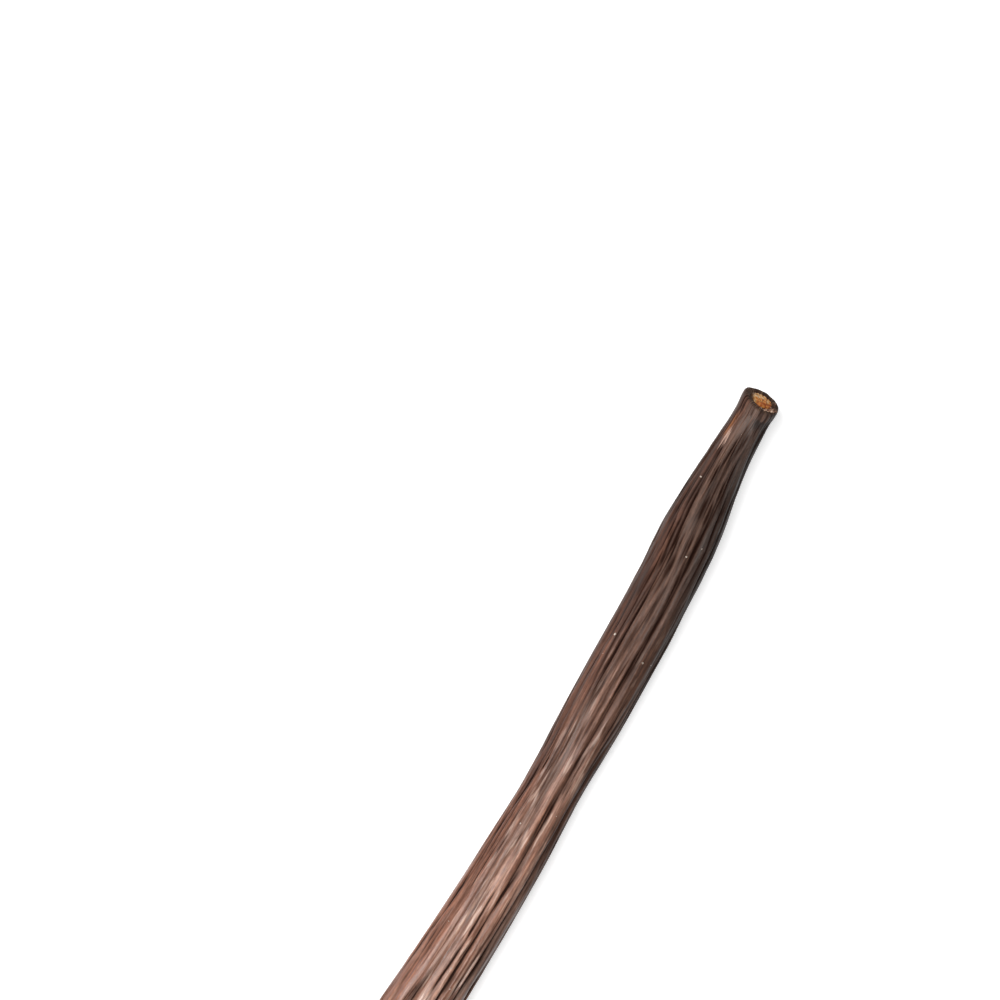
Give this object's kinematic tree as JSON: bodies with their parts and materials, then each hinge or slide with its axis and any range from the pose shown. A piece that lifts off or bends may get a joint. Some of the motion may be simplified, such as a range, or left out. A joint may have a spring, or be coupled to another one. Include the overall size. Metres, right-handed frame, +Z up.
{
  "type": "vanilla pod",
  "caption": "Long slender cured vanilla pod, lying down: ribbed dark brown skin, a curled neck with a slanting cut, and a tapering blossom tip.",
  "frame": {"origin": "on the surface that the pod lies on, under the middle of its box", "axes": "+X along the pod, towards the cut stem; +Z up"},
  "size_m": [0.1738, 0.0172, 0.0082],
  "materials": {
    "pod_skin": "cured plant skin, dark brown, softly shining, ribbed lengthwise",
    "cut_flesh": "dry fibrous cut, tan, matt"
  },
  "bodies": {
    "root": {"vanilla_pod": "pod_skin"}
  },
  "joints": []
}
